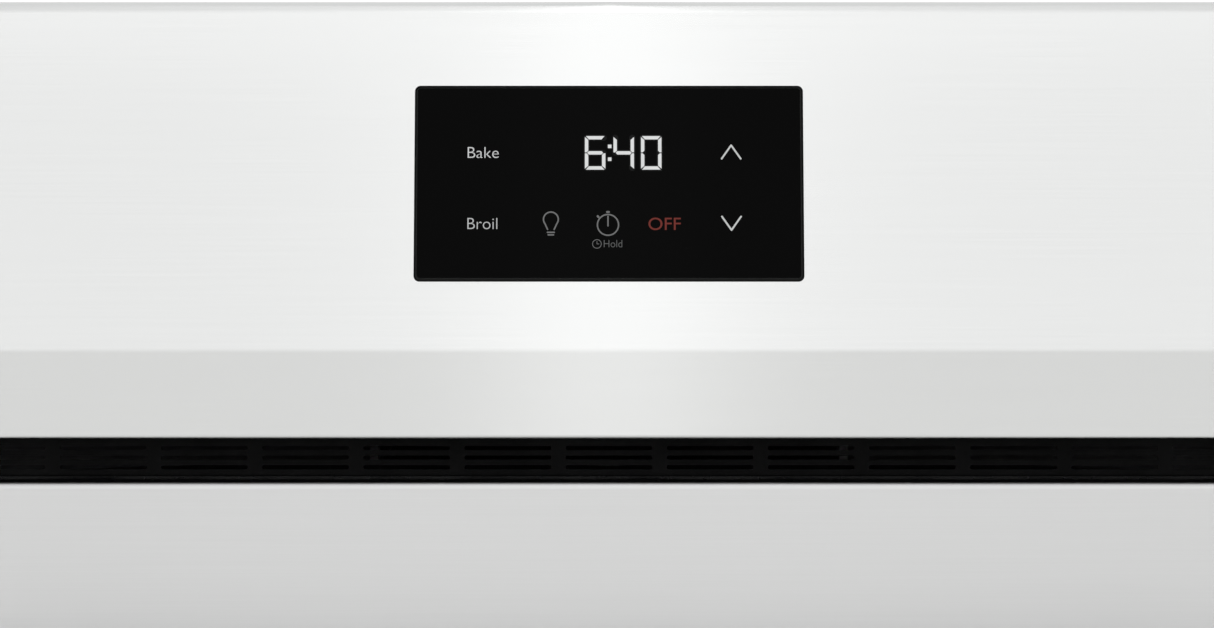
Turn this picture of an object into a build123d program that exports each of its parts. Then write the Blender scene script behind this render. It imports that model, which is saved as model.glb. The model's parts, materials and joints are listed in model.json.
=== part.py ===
from build123d import *
from math import cos, radians, sin, tan
import os

# A built-in electric wall oven of the 24 inch class, with a drop-down door.
# Millimetres. X runs across the front, Y runs from the front to the back, Z is up.
# The origin is at the bottom, in the middle of the whole width and depth.

# ---- driving dimensions -------------------------------------------------------------------------
front_width = 603.0  # across the end caps of the control panel
total_height = 739.3
chassis_width = 559.0
chassis_height = 705.0
chassis_depth = 565.0  # from the front frame to the wiring cover
sheet = 1.2  # sheet steel
fit_gap = 0.3  # between pieces that only stand beside each other
running_fit = 0.05  # radial, round a turning pin or shaft

door_width = 600.0
door_thickness = 44.0
door_gap = 4.0  # between the closed door and the front frame
door_bottom = 40.0
handle_reach = 52.0  # from the door's skin to the front of the bar

panel_height = 179.9
panel_band = 35.9  # the lower, nearly upright part of the control panel
panel_tilt = 9.0  # degrees, the main face leans back
vent_gap = 17.9  # between the control panel and the door
glass_width = 158.7
glass_height = 81.0
glass_above_crease = 69.1  # along the tilted face, to the middle of the glass

cavity_width = 459.0
cavity_height = 406.0
cavity_floor = 85.0
cavity_depth = 475.0
lower_rack_z = 200.0
upper_rack_z = 325.0

# ---- places that follow from them ---------------------------------------------------------------
whole_depth = handle_reach + door_thickness + door_gap + chassis_depth
frame_y = handle_reach + door_thickness + door_gap - whole_depth / 2
rear_y = frame_y + chassis_depth
rear_sheet_y = rear_y - 26.0  # outer face of the rear panel, inside the wiring cover's depth
door_back = frame_y - door_gap
door_front = door_back - door_thickness
panel_bottom = total_height - panel_height
crease_z = panel_bottom + panel_band
door_top = panel_bottom - vent_gap
door_height = door_top - door_bottom
door_middle = (door_top + door_bottom) / 2
half_chassis = chassis_width / 2
half_cavity = cavity_width / 2
cavity_top = cavity_floor + cavity_height
cavity_middle = cavity_floor + cavity_height / 2
cavity_back = frame_y + 1.5 + cavity_depth
hinge_y = frame_y - 9.0
hinge_z = door_bottom + 6.0
hinge_x = 268.0
flange_half = 299.0
flange_hole_x = 290.0
flange_hole_z = (100.0, 480.0)

os.makedirs("parts", exist_ok=True)


# ---- shapes used over and over ------------------------------------------------------------------
def save(node, *shapes):
    """Write one sub-part, whose solids may stand apart."""
    solids = [solid for shape in shapes for solid in shape.solids()]
    export_step(solids[0] if len(solids) == 1 else Compound(solids), f"parts/{node}.step")


def pair(shape):
    """The shape and its mirror image on the oven's other side."""
    return [shape, mirror(shape, about=Plane.YZ)]


def block(x, y, z):
    """A box between three pairs of limits."""
    limits = (x, y, z)
    size = [high - low for low, high in limits]
    middle = [(high + low) / 2 for low, high in limits]
    return Pos(*middle) * Box(*size)


def rod(start, end, radius):
    """A round bar from one point to another."""
    reach = Vector(*end) - Vector(*start)
    return Solid.make_cylinder(radius, reach.length, Plane(origin=start, z_dir=reach))


def front_plate(size, corner, middle, y, thickness):
    """A flat plate that faces the front, with rounded corners. Its front face is at y."""
    plane = Plane(origin=(middle[0], y, middle[1]), x_dir=(1, 0, 0), z_dir=(0, -1, 0))
    outline = RectangleRounded(*size, corner) if corner else Rectangle(*size)
    return extrude(plane * outline, amount=-thickness)


def side_profile(points, x):
    """A solid with this outline in the Y-Z plane, between two X limits."""
    outline = make_face(Polyline(*points, close=True))
    return extrude(Plane.YZ.offset(x[0]) * outline, amount=x[1] - x[0])


def folded_sheet(points, radii, x, thickness=sheet):
    """A folded sheet whose outer line is given in the Y-Z plane; the metal lies to its right."""
    line = FilletPolyline(*points, radius=radii)
    outline = make_face(offset(line, amount=thickness, side=Side.RIGHT))
    return extrude(Plane.YZ.offset(x[0]) * outline, amount=x[1] - x[0])


def bent_tube(points, bend, radius):
    """A round rod along straight runs joined by arcs."""
    path = FilletPolyline(*points, radius=bend)
    return sweep(Plane(path @ 0, z_dir=path % 0) * Circle(radius), path=path)


def softened(shape, axis, radius):
    """The shape with the edges of its lowest face along this axis rounded."""
    return fillet(shape.faces().sort_by(axis)[0].edges(), radius)


# ---- control panel ------------------------------------------------------------------------------
tilt = radians(panel_tilt)
panel_top_y = door_front + (total_height - crease_z) * tan(tilt)
panel_line = [
    (frame_y - 2, panel_bottom),
    (door_front + 2.5, panel_bottom),
    (door_front, crease_z),
    (panel_top_y, total_height),
    (frame_y + 2, total_height),
]
panel_bends = [1.6, 8.0, 6.0]
face_plane = Plane(
    origin=(
        0,
        door_front + glass_above_crease * sin(tilt),
        crease_z + glass_above_crease * cos(tilt),
    ),
    x_dir=(1, 0, 0),
    z_dir=(0, -cos(tilt), sin(tilt)),
)


def face_block(width, height, back, front, corner=0.0, middle=(0, 0)):
    """A slab on the tilted face, centred on the glass, between two depths along its normal."""
    outline = RectangleRounded(width, height, corner) if corner else Rectangle(width, height)
    return extrude(face_plane.offset(back) * Pos(*middle) * outline, amount=front - back)


panel_screw = (285, frame_y - 22)


def make_panel_screws():
    """The screws that hold the control panel's lower return to its brackets."""
    head = rod((*panel_screw, panel_bottom - 2), (*panel_screw, panel_bottom), 4)
    shank = rod((*panel_screw, panel_bottom - 1), (*panel_screw, panel_bottom + 8), 2)
    return pair(head + shank)


def make_control_panel():
    cap = 2.0
    half = front_width / 2 - cap
    panel = folded_sheet(panel_line, panel_bends, (-half, half))
    panel -= face_block(glass_width + 2 * fit_gap, glass_height + 2 * fit_gap, -6, 6, 2.4)
    for hole in pair(rod((*panel_screw, panel_bottom - 3), (*panel_screw, panel_bottom + 3), 2.2)):
        panel -= hole
    save("control_panel", panel)

    line = FilletPolyline(*panel_line, radius=panel_bends)
    outline = make_face(line + Line(panel_line[-1], panel_line[0]))
    end_cap = extrude(Plane.YZ.offset(half) * outline, amount=cap)
    save("panel_end_caps", *pair(end_cap))

    inset = sheet + fit_gap
    web = side_profile(
        [
            (frame_y, panel_bottom + inset),
            (door_front + 12, panel_bottom + inset),
            (door_front + 10, crease_z),
            (panel_top_y + 10, total_height - 16),
            (frame_y, total_height - 16),
        ],
        (292, 294),
    )
    foot = block((278, 292), (frame_y - 32, frame_y - 12), (panel_bottom + inset, panel_bottom + 3.5))
    ear = block((281.5, 292), (frame_y - 2, frame_y), (panel_bottom + 12, chassis_height - 10))
    bracket = web + foot + ear
    bracket -= rod((*panel_screw, panel_bottom), (*panel_screw, panel_bottom + 10), 2.2)
    save("panel_brackets", *pair(bracket))


def make_control_glass():
    proud = 1.2
    glass = face_block(glass_width, glass_height, -3, proud, 2.2)
    rim = glass.faces().sort_by(lambda f: (f.center() - face_plane.origin).dot(face_plane.z_dir))[-1]
    glass = chamfer(rim.edges(), 1.0, 2.4, reference=rim)
    save("control_glass", glass)

    tray = face_block(172, 94, -20, -1.3) - face_block(168, 90, -18, -1)
    tray -= face_block(60, 12, -21, -17, middle=(0, -25))
    save("control_tray", tray)
    window = face_block(70, 26, -5, -2.9, middle=(4, 12))
    save("touch_board", face_block(150, 72, -4.7, -3.1) - window)
    display = face_block(66, 22, -11, -3.2, middle=(4, 12))
    save("display_module", display)


def make_control_electronics():
    bracket = block((-115, 115), (frame_y + 14, frame_y + 15.2), (572, 696))
    for x in (-115, 113.8):
        bracket += block((x, x + sheet), (frame_y + 1.5, frame_y + 14.5), (572, 696))
    for x in (-88, 88):
        for z in (590, 684):
            bracket += rod((x, frame_y + 15, z), (x, frame_y + 21, z), 4)
    save("board_bracket", bracket)
    board = block((-98, 98), (frame_y + 21, frame_y + 22.6), (582, 692))
    for i in range(5):
        x = -70 + 30 * i
        board += block((x, x + 20), (frame_y + 22.6, frame_y + 38), (655, 682))
    board += block((20, 62), (frame_y + 22.6, frame_y + 52), (595, 630))
    board += block((27, 55), (frame_y + 22.6, frame_y + 58), (601, 624))
    for x in (-60, -38, -16):
        board += rod((x, frame_y + 22.6, 610), (x, frame_y + 47, 610), 8)
    save("control_board", board)


# ---- door ---------------------------------------------------------------------------------------
skin_returns = 32.0
window_size = (430.0, 250.0)
window_z = 268.0
window = (0, window_z)
handle_z = door_top - 80.0
handle_y = door_front - handle_reach + 11.0
handle_x = 232.0
liner_screw_z = (90, 200, 310, 420, 505)


def hinge_notch():
    """The corner of the door that stays clear of the fixed hinge receivers."""
    return pair(block((259, 277), (frame_y - 17.5, frame_y), (door_bottom - 2, door_bottom + 21)))


def make_door_skin():
    outer = front_plate((door_width, door_height), 3, (0, door_middle), door_front, skin_returns)
    outer = softened(outer, Axis.Y, 2.4)
    hollow = (door_width - 2 * sheet, door_height - 2 * sheet)
    inner = front_plate(hollow, 1.8, (0, door_middle), door_front + sheet, skin_returns)
    inner = softened(inner, Axis.Y, 1.2)
    skin = outer - inner
    skin -= front_plate(window_size, 12, window, door_front - 1, 4)
    for i in range(-4, 5):
        x = 56 * i
        for z in (door_top, door_bottom):
            skin -= block((x - 20, x + 20), (door_back - 24, door_back - 18), (z - 3, z + 3))
    for x in (-handle_x, handle_x):
        skin -= rod((x, door_front - 1, handle_z), (x, door_front + 4, handle_z), 2.7)
    save("door_outer_panel", skin)


def make_handle():
    bar_radius = 11.0
    bar = rod((-270, handle_y, handle_z), (270, handle_y, handle_z), bar_radius)
    ends = [edge for edge in bar.edges() if edge.geom_type == GeomType.CIRCLE]
    bar = fillet(ends, 4)
    save("handle_bar", bar)
    posts = []
    screws = []
    for x in (-handle_x, handle_x):
        post = front_plate((30, 18), 8.5, (x, handle_z), handle_y, door_front - handle_y)
        post = fillet(post.faces().sort_by(Axis.Y)[-1].edges(), 1)
        post -= rod((x - 20, handle_y, handle_z), (x + 20, handle_y, handle_z), bar_radius)
        post -= rod((x, door_front - 16, handle_z), (x, door_front + 1, handle_z), 2.6)
        posts.append(post)
        shank = rod((x, door_front - 14, handle_z), (x, door_front + 2, handle_z), 2.4)
        head = rod((x, door_front + sheet, handle_z), (x, door_front + 4.2, handle_z), 4.6)
        screws.append(shank + head)
    save("handle_posts", *posts)
    return screws


def make_door_glass():
    outer_size = (window_size[0] + 24, window_size[1] + 24)
    save("door_glass_outer", front_plate(outer_size, 6, window, door_front + sheet, 4))
    frame_front = door_front + sheet + 4
    frame_depth = door_back - 10 - frame_front
    spacer = front_plate((448, 268), 8, window, frame_front, frame_depth)
    spacer -= front_plate((444, 264), 6, window, frame_front - 1, frame_depth + 2)
    ledge = front_plate((444.5, 264.5), 6, window, door_back - 24.2, 1.2)
    ledge -= front_plate((420, 240), 6, window, door_back - 26, 6)
    save("door_glass_spacer", spacer + ledge)
    save("door_glass_middle", front_plate((443, 263), 6, window, door_back - 28.2, 4))
    save("door_glass_inner", front_plate((446, 266), 6, window, door_back - 9.9, 4))


def make_door_liner():
    size = (door_width - 2 * sheet - 2 * fit_gap, door_height - 2 * sheet - 2 * fit_gap)
    liner = front_plate(size, 1.5, (0, door_middle), door_back - 12, 12)
    hollow = (size[0] - 2 * sheet, size[1] - 2 * sheet)
    liner -= front_plate(hollow, 0, (0, door_middle), door_back - 13, 13 - sheet)
    bead = front_plate((486, 432), 16, (0, cavity_middle), door_back - 5.5, 5.5)
    bead -= front_plate((486 - 2 * sheet, 432 - 2 * sheet), 15, (0, cavity_middle), door_back - 6, 7)
    liner += bead
    liner -= front_plate((400, 220), 10, window, door_back - 20, 30)
    for notch in hinge_notch():
        liner -= notch
    screws = []
    for x in (-284, 284):
        for z in liner_screw_z:
            head = rod((x, door_back, z), (x, door_back + 1.8, z), 4.2)
            screws.append(head + rod((x, door_back - 9, z), (x, door_back + 1, z), 1.9))
            liner -= rod((x, door_back - 14, z), (x, door_back + 1, z), 2.1)
    save("door_liner", liner)

    rail_y = (door_front + 3, door_back - 4)
    rail = block((262.5, 293), rail_y, (door_bottom + 36, door_top - 16))
    rail -= block((264, 294), (rail_y[0] + 1.5, rail_y[1] - 1.5), (door_bottom, door_top))
    for z in liner_screw_z:
        rail -= rod((284, door_back - 14, z), (284, door_back + 1, z), 2.1)
    save("door_side_rails", *pair(rail))

    pad = block((-261, 261), (door_front + 3, door_back - 6), (door_bottom + 26, door_top - 10))
    pad -= front_plate((450, 270), 8, window, door_front - 1, door_thickness + 4)
    pad -= front_plate((458, 278), 8, window, door_front, 8)
    for x in (-handle_x, handle_x):
        pad -= rod((x, door_front, handle_z), (x, door_front + 7, handle_z), 6)
    for notch in hinge_notch():
        pad -= notch
    bead_clear = front_plate((490, 436), 16, (0, cavity_middle), door_back - 6.5, 8)
    save("door_insulation", pad - bead_clear)
    return screws


# ---- hinges, gasket and door switch -------------------------------------------------------------
def make_hinges():
    pin_radius = 4.0
    arm_x = (hinge_x - 2.5, hinge_x + 2.5)
    eye = rod((arm_x[0], hinge_y, hinge_z), (arm_x[1], hinge_y, hinge_z), 7.5)
    neck = side_profile(
        [
            (hinge_y - 7, hinge_z - 2),
            (hinge_y + 7, hinge_z + 2),
            (hinge_y - 1, hinge_z + 28),
            (frame_y - 40, hinge_z + 28),
            (frame_y - 40, hinge_z + 20),
        ],
        arm_x,
    )
    arm = eye + neck
    arm += block(arm_x, (frame_y - 40, frame_y - 12), (hinge_z + 26, hinge_z + 150))
    bore = rod((hinge_x - 9, hinge_y, hinge_z), (hinge_x + 9, hinge_y, hinge_z), pin_radius + running_fit)
    arm -= bore
    for z in (hinge_z + 60, hinge_z + 130):
        bolt_y = frame_y - 26
        arm += rod((264, bolt_y, z), (arm_x[0] + 1, bolt_y, z), 5)
    save("hinge_arms", *pair(arm))

    receiver = None
    receiver_back = frame_y + 60
    receiver_low = door_bottom + 0.5
    for x in ((hinge_x - 6, hinge_x - 3), (hinge_x + 3, hinge_x + 6)):
        cheek = block(x, (hinge_y, receiver_back), (receiver_low, door_bottom + 12))
        cheek += block(x, (frame_y + 6, receiver_back), (receiver_low, door_bottom + 34))
        cheek += rod((x[0], hinge_y, hinge_z), (x[1], hinge_y, hinge_z), 6.5)
        receiver = cheek if receiver is None else receiver + cheek
    floor_x = (hinge_x - 6, hinge_x + 6)
    receiver += block(floor_x, (frame_y + 20, receiver_back), (receiver_low, receiver_low + 3))
    receiver -= bore
    save("hinge_receivers", *pair(receiver))
    pin = rod((hinge_x - 7.5, hinge_y, hinge_z), (hinge_x + 6.5, hinge_y, hinge_z), pin_radius)
    pin += rod((hinge_x + 6.2, hinge_y, hinge_z), (hinge_x + 8, hinge_y, hinge_z), 5.5)
    save("hinge_pins", *pair(pin))


def make_gasket():
    ring = front_plate((504, 450), 27, (0, cavity_middle), frame_y - 3.5, 3.5)
    ring -= front_plate((484, 430), 17, (0, cavity_middle), frame_y - 4, 5)
    save("door_gasket", softened(ring, Axis.Y, 1.6))


switch_x = 262.0
switch_z = 514.0


def make_door_switch():
    x, z = switch_x, switch_z
    body = block((x - 9, x + 9), (frame_y + 1.5, frame_y + 24), (z - 7, z + 7))
    body -= rod((x, frame_y, z), (x, frame_y + 20, z), 3.3)
    save("door_switch_body", body)
    plunger = rod((x, door_back + 0.2, z), (x, frame_y + 14, z), 3)
    save("door_switch_plunger", softened(plunger, Axis.Y, 1.2))


# ---- body ---------------------------------------------------------------------------------------
def make_front_frame():
    half = half_chassis
    frame = block((-half, half), (frame_y, frame_y + 1.5), (30, door_top + 0.9))
    frame -= front_plate((cavity_width, cavity_height), 15, (0, cavity_middle), frame_y - 1, 4)
    for slot in pair(block((259.5, 276.5), (frame_y - 1, frame_y + 3), (door_bottom - 1, door_bottom + 13))):
        frame -= slot
    frame -= rod((switch_x, frame_y - 1, switch_z), (switch_x, frame_y + 3, switch_z), 3.4)
    save("front_frame", frame)

    flange_z = (door_bottom, chassis_height - 5)
    flange = block((half_chassis, flange_half), (frame_y, frame_y + 2), flange_z)
    flange += block((half_chassis, half_chassis + 1.5), (frame_y, frame_y + 26), flange_z)
    for z in flange_hole_z:
        flange -= rod((flange_hole_x, frame_y - 1, z), (flange_hole_x, frame_y + 3, z), 2.75)
    save("mounting_flanges", *pair(flange))

    brace_y = (frame_y, frame_y + sheet)
    brace_top = total_height - sheet - fit_gap
    brace = block((-half, half), brace_y, (panel_bottom + 2, brace_top))
    brace += block((-flange_half, flange_half), brace_y, (chassis_height - 4, brace_top))
    brace -= front_plate((150, 60), 8, (0, 640), frame_y - 1, 4)
    inner = half - sheet - fit_gap
    brace_lip = (chassis_height - 2 * sheet, chassis_height - sheet)
    brace += block((-inner, inner), (frame_y, frame_y + 14), brace_lip)
    save("upper_brace", brace)

    trim = block((-298, 298), (frame_y - 1.5, frame_y), (2, 36))
    for i in range(-6, 7):
        trim -= block((44 * i - 16, 44 * i + 16), (frame_y - 2, frame_y + 1), (13, 18))
        trim -= block((44 * i - 16, 44 * i + 16), (frame_y - 2, frame_y + 1), (22, 27))
    save("bottom_trim", trim)


def make_chassis():
    half = half_chassis
    inner = half - sheet
    back_y = rear_sheet_y - sheet
    pan = block((-inner, inner), (frame_y + 1.5, back_y), (0, 42))
    pan -= block((-inner + sheet, inner - sheet), (frame_y + 1.5 + sheet, back_y - sheet), (sheet, 50))
    for slot in pair(block((255, 280), (frame_y, frame_y + 70), (door_bottom - 2, 50))):
        pan -= slot
    for x in (-120, 0, 120):
        for y in (-120, -60, 0, 60, 120):
            pan -= Pos(x, y, 0) * extrude(SlotOverall(60, 8), amount=5, both=True)

    screws = []
    side = block((inner, half), (frame_y + 1.5, back_y), (1, chassis_height - sheet))
    top_fold = (chassis_height - 2 * sheet, chassis_height - sheet)
    side += block((half - 15, half), (frame_y + 16, back_y), top_fold)
    side += block((half - 15, half), (back_y - sheet, back_y), (44, chassis_height - sheet))
    for i in range(6):
        y = 110 + 24 * i
        side -= block((inner - 1, half + 1), (y, y + 8), (600, 660))
    for z in (20, 360, 680):
        for y in (frame_y + 60, 40, back_y - 40):
            head = rod((half, y, z), (half + 2.5, y, z), 4)
            screws += pair(head + rod((half - 7, y, z), (half + 1, y, z), 1.9))
            hole = rod((inner - 4, y, z), (half + 1, y, z), 2.1)
            side -= hole
            for low_hole in pair(hole) if z < 42 else []:
                pan -= low_hole
    save("base_pan", pan)
    save("side_panels", *pair(side))

    top = block((-half, half), (frame_y + 1.3, rear_sheet_y), (chassis_height - sheet, chassis_height))
    for i in range(9):
        x = -160 + 40 * i
        top -= block((x, x + 22), (190, 196), (chassis_height - 3, chassis_height + 1))
    save("top_cover", top)

    rear = block((-half, half), (back_y, rear_sheet_y), (1, chassis_height - sheet))
    rear -= block((-130, 130), (back_y - 1, rear_y), (100, 478))
    rear -= block((box_x - 49, box_x + 49), (back_y - 1, rear_y), (box_z - 38, box_z + 38))
    for i in range(10):
        for z in (600, 625, 650):
            rear -= block((-40 + 26 * i, -22 + 26 * i), (back_y - 1, rear_y), (z, z + 8))
    for x in (-260, 260):
        for z in (60, 360, 560):
            head = rod((x, rear_sheet_y, z), (x, rear_sheet_y + 2.5, z), 4)
            screws.append(head + rod((x, back_y - 0.2, z), (x, rear_sheet_y + 1, z), 1.9))
            rear -= rod((x, back_y - 1, z), (x, rear_sheet_y + 1, z), 2.1)
    save("rear_panel", rear)

    depth = rear_y - rear_sheet_y
    cover = front_plate((300, 395), 8, (0, 288), rear_sheet_y, depth)
    cover = fillet(cover.faces().sort_by(Axis.Y)[-1].edges(), 3)
    cover -= front_plate((300 - 2 * sheet, 395 - 2 * sheet), 7, (0, 288), rear_sheet_y - 1, depth)
    rim = front_plate((330, 425), 10, (0, 288), rear_sheet_y, sheet)
    rim -= front_plate((298, 393), 7, (0, 288), rear_sheet_y - 1, 4)
    save("wiring_cover", cover + rim)
    return screws


def make_insulation():
    clear = 0.3 + sheet
    blanket = block((-258, 258), (frame_y + 4, cavity_back + 30), (48, 524))
    hollow = front_plate(
        (cavity_width + 2 * clear, cavity_height + 2 * clear),
        16,
        (0, cavity_middle),
        frame_y - 1,
        cavity_back + clear - frame_y + 1,
    )
    blanket -= hollow
    blanket -= block((250, 262), (frame_y, frame_y + 26), (switch_z - 9, 532))
    for x, z in rear_holes():
        blanket -= rod((x, cavity_back, z), (x, cavity_back + 40, z), 6)
    blanket -= rod((lamp_x, cavity_back, lamp_z), (lamp_x, cavity_back + 40, lamp_z), 30.5)
    blanket -= rod((0, flue_y, cavity_top), (0, flue_y, 530), 13)
    save("insulation_blanket", blanket)
    shield = block((-276, 276), (frame_y + 4, rear_sheet_y - 32), (526, 527.2))
    shield -= rod((0, flue_y, 520), (0, flue_y, 530), 13)
    save("heat_shield", shield)
    limiter = rod((-180, frame_y + 300, 527.2), (-180, frame_y + 300, 534), 12)
    limiter += rod((-180, frame_y + 300, 533), (-180, frame_y + 300, 541), 7)
    for x in (-184, -177.5):
        limiter += block((x, x + 1.5), (frame_y + 297, frame_y + 303), (540, 549))
    save("thermal_limiter", limiter)


# ---- oven cavity --------------------------------------------------------------------------------
bake_z = cavity_floor + 27.0
broil_z = cavity_top - 20.0
element_x = 38.0
element_radius = 3.5
element_bend = 22.0  # to the rod's centre line
element_side = 186.0  # the loops' outer runs
lamp_x = 150.0
lamp_z = 405.0
sensor_x = -150.0
sensor_z = 440.0
flue_y = frame_y + 90.0


def rear_holes():
    """Where the heating elements and the sensor go through the cavity's rear wall."""
    holes = [(x, z) for x in (-element_x, element_x) for z in (bake_z, broil_z)]
    return holes + [(sensor_x, sensor_z)]


def make_cavity():
    front = frame_y + 1.5
    size = (cavity_width, cavity_height)
    outer = front_plate(
        (size[0] + 2 * sheet, size[1] + 2 * sheet), 16.2, (0, cavity_middle), front, cavity_depth + sheet
    )
    liner = outer - front_plate(size, 15, (0, cavity_middle), front - 1, cavity_depth + 1)
    lip = front_plate((size[0] + 22, size[1] + 22), 24, (0, cavity_middle), front, sheet)
    liner += lip - front_plate(size, 15, (0, cavity_middle), front - 1, 4)
    for x, z in rear_holes():
        liner -= rod((x, cavity_back - 1, z), (x, cavity_back + 4, z), element_radius + 0.7)
    liner -= rod((lamp_x, cavity_back - 1, lamp_z), (lamp_x, cavity_back + 4, lamp_z), 24)
    liner -= rod((0, flue_y, cavity_top - 1), (0, flue_y, cavity_top + 4), 11)
    flue = rod((0, flue_y, cavity_top + 0.6), (0, flue_y, door_top + 0.6), 12.2)
    liner += flue - rod((0, flue_y, cavity_top - 1), (0, flue_y, door_top + 4), 11)
    save("cavity_liner", liner)


rack_wire = 3.0
guide_wire = 2.25
rack_half = 212.0


def make_rack_guides():
    post_x = rack_half + rack_wire + guide_wire + 0.4
    rung_x = rack_half + 1.5
    ends = (frame_y + 30, frame_y + 452)
    guide = None
    for y in (frame_y + 42, frame_y + 440):
        post = rod((post_x, y, 130), (post_x, y, 460), guide_wire)
        for z in (145, 445):
            post += rod((post_x, y, z), (half_cavity, y, z), 3)
        guide = post if guide is None else guide + post
    pitch = (upper_rack_z - lower_rack_z) / 2
    for level in range(-1, 4):
        z = lower_rack_z + pitch * level
        for rise in (-rack_wire - guide_wire - fit_gap, rack_wire + guide_wire + 4):
            guide += rod((rung_x, ends[0], z + rise), (rung_x, ends[1], z + rise), guide_wire)
    save("rack_guides", *pair(guide))


def make_rack(node, z):
    front = frame_y + 15
    back = frame_y + 462
    cross_wire = 1.8
    corner = 12.0
    outline = RectangleRounded(2 * rack_half, back - front, corner)
    path = Plane(origin=(0, (front + back) / 2, z)) * outline.wire()
    start = Plane(path @ 0, z_dir=path % 0)
    rack = sweep(start * Circle(rack_wire), path=path)
    for y in (front + 120, front + 330):
        rack += rod((-rack_half, y, z), (rack_half, y, z), 2.6)
    count = 17
    pitch = 2 * rack_half / (count + 1)
    for i in range(1, count + 1):
        x = -rack_half + pitch * i
        rise = z + rack_wire + 0.6
        rack += rod((x, front - 2.5, rise), (x, back + 2.5, rise), cross_wire)
    save(node, rack)


def make_elements():
    back = cavity_back + 38
    near = frame_y + 66
    middle = frame_y + 120
    far = frame_y + 410
    bake = [
        (-element_x, back, bake_z),
        (-element_x, far - 40, bake_z),
        (-element_side, far - 40, bake_z),
        (-element_side, near, bake_z),
        (element_side, near, bake_z),
        (element_side, far - 40, bake_z),
        (element_x, far - 40, bake_z),
        (element_x, back, bake_z),
    ]
    save("bake_element", bent_tube(bake, element_bend, element_radius))
    half = [
        (element_x, back),
        (element_x, middle),
        (112, middle),
        (112, far),
        (element_side, far),
        (element_side, near),
    ]
    broil = [(x, y, broil_z) for x, y in half] + [(-x, y, broil_z) for x, y in reversed(half)]
    save("broil_element", bent_tube(broil, element_bend, element_radius))

    plates = []
    for z in (bake_z, broil_z):
        plate = front_plate((104, 22), 4, (0, z), cavity_back - 2, 2)
        for x in (-element_x, element_x):
            plate -= rod((x, cavity_back - 4, z), (x, cavity_back + 1, z), element_radius + 0.4)
        plates.append(plate)
    clip_y = frame_y + 215
    for x in (-element_side, element_side):
        for z, reach in ((bake_z, (cavity_floor, bake_z + 4)), (broil_z, (broil_z - 7, cavity_top))):
            clip = block((x - 9, x + 9), (clip_y, clip_y + 2), reach)
            plates.append(clip - rod((x, clip_y - 5, z), (x, clip_y + 5, z), element_radius + fit_gap))
    save("element_plates", *plates)


def make_lamp_and_sensor():
    seat = cavity_back + sheet
    housing = rod((lamp_x, seat, lamp_z), (lamp_x, seat + 48, lamp_z), 30)
    housing -= rod((lamp_x, seat - 1, lamp_z), (lamp_x, seat + 46, lamp_z), 26)
    housing += rod((lamp_x, seat + 26, lamp_z), (lamp_x, seat + 47, lamp_z), 14)
    housing -= rod((lamp_x, seat + 25, lamp_z), (lamp_x, seat + 44, lamp_z), 9.5)
    save("lamp_housing", housing)
    globe = Pos(lamp_x, seat + 9, lamp_z) * Sphere(12)
    globe += rod((lamp_x, seat + 12, lamp_z), (lamp_x, seat + 42, lamp_z), 7.5)
    save("lamp_bulb", globe)
    lens = rod((lamp_x, cavity_back - 14, lamp_z), (lamp_x, cavity_back, lamp_z), 31)
    lens = softened(lens, Axis.Y, 8)
    lens -= rod((lamp_x, cavity_back - 11, lamp_z), (lamp_x, cavity_back + 1, lamp_z), 26)
    save("lamp_lens", lens)
    probe = rod((sensor_x, cavity_back - 90, sensor_z), (sensor_x, cavity_back + 36, sensor_z), 2.6)
    probe = softened(probe, Axis.Y, 2)
    probe += front_plate((26, 22), 4, (sensor_x, sensor_z), cavity_back - 2, 2)
    save("temperature_sensor", probe)


# ---- cooling air --------------------------------------------------------------------------------
blower_y = frame_y + 225.0
blower_z = 591.0
wheel_radius = 30.0
wheel_half = 100.0
shaft_radius = 3.0


def make_duct():
    low, high = door_top + 0.9, panel_bottom - 0.3
    mouth, throat = 262.0, 106.0
    front, flare, back = frame_y + 1.8, frame_y + 24, frame_y + 150
    outline = [
        (mouth, front),
        (mouth, flare),
        (throat, back),
        (-throat, back),
        (-mouth, flare),
        (-mouth, front),
    ]
    walls = Plane.XY.offset(low) * make_face(Polyline(*outline, close=True))
    duct = extrude(walls, amount=high - low)
    gap = sheet
    inside = [
        (mouth - gap, front - 1),
        (mouth - gap, flare),
        (throat - gap, back + 1),
        (-throat + gap, back + 1),
        (-mouth + gap, flare),
        (-mouth + gap, front - 1),
    ]
    hollow = Plane.XY.offset(low + 0.8) * make_face(Polyline(*inside, close=True))
    duct -= extrude(hollow, amount=high - low - 1.6)
    duct -= rod((0, flue_y, low - 1), (0, flue_y, low + 2), 11)
    save("vent_duct", duct)

    line = [(frame_y - 0.2, panel_bottom - 0.8), (frame_y - 14, panel_bottom - 0.8)]
    line += [(frame_y - 14, door_top + 1.1), (frame_y - 0.2, door_top + 1.1)]
    grille = folded_sheet(list(reversed(line)), [1.5, 1.5], (-298, 298))
    middle = (door_top + panel_bottom) / 2
    for i in range(-6, 7):
        for rise in (-4, 0, 4):
            grille -= front_plate((36, 1.8), 0.8, (42 * i, middle + rise), frame_y - 16, 4)
    save("vent_grille", grille)


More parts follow.
